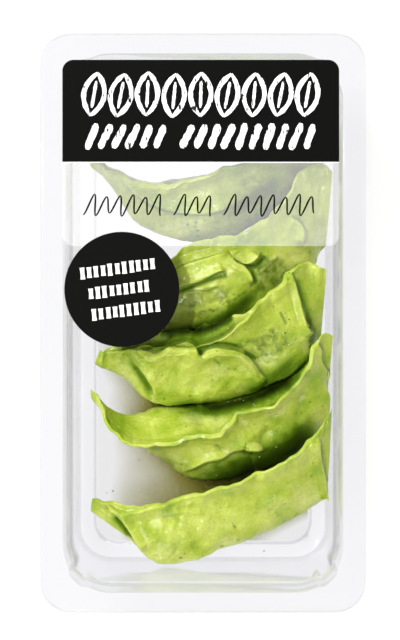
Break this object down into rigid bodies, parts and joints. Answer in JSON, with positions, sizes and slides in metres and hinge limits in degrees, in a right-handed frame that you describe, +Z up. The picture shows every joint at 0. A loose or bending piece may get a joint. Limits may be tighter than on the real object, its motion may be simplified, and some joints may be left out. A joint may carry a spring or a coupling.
{
  "type": "sealed tray of gyoza dumplings",
  "caption": "Clear formed tray of green gyoza dumplings lying in a leaning row under a sealed film, with a plain black-and-white label and a round black sticker",
  "frame": {"origin": "the middle of the base, on the surface the pack lies on", "axes": "+X across the pack, +Y along the pack towards the end with the label, +Z up to the lid film"},
  "size_m": [0.1174, 0.2088, 0.0364],
  "materials": {
    "clear_tray": "thermoformed clear PET, glossy",
    "clear_film": "thin clear sealing film, glossy",
    "label_print": "satin printed label, black head over a whitened clear band",
    "sticker_print": "satin printed round sticker",
    "green_dough": "steamed spinach wheat dough, moist and slightly see-through"
  },
  "bodies": {
    "root": {"tray": "clear_tray", "lid_film": "clear_film", "label": "label_print", "round_sticker": "sticker_print", "gyoza_1": "green_dough", "gyoza_2": "green_dough", "gyoza_3": "green_dough", "gyoza_4": "green_dough", "gyoza_5": "green_dough", "gyoza_6": "green_dough"}
  },
  "joints": []
}
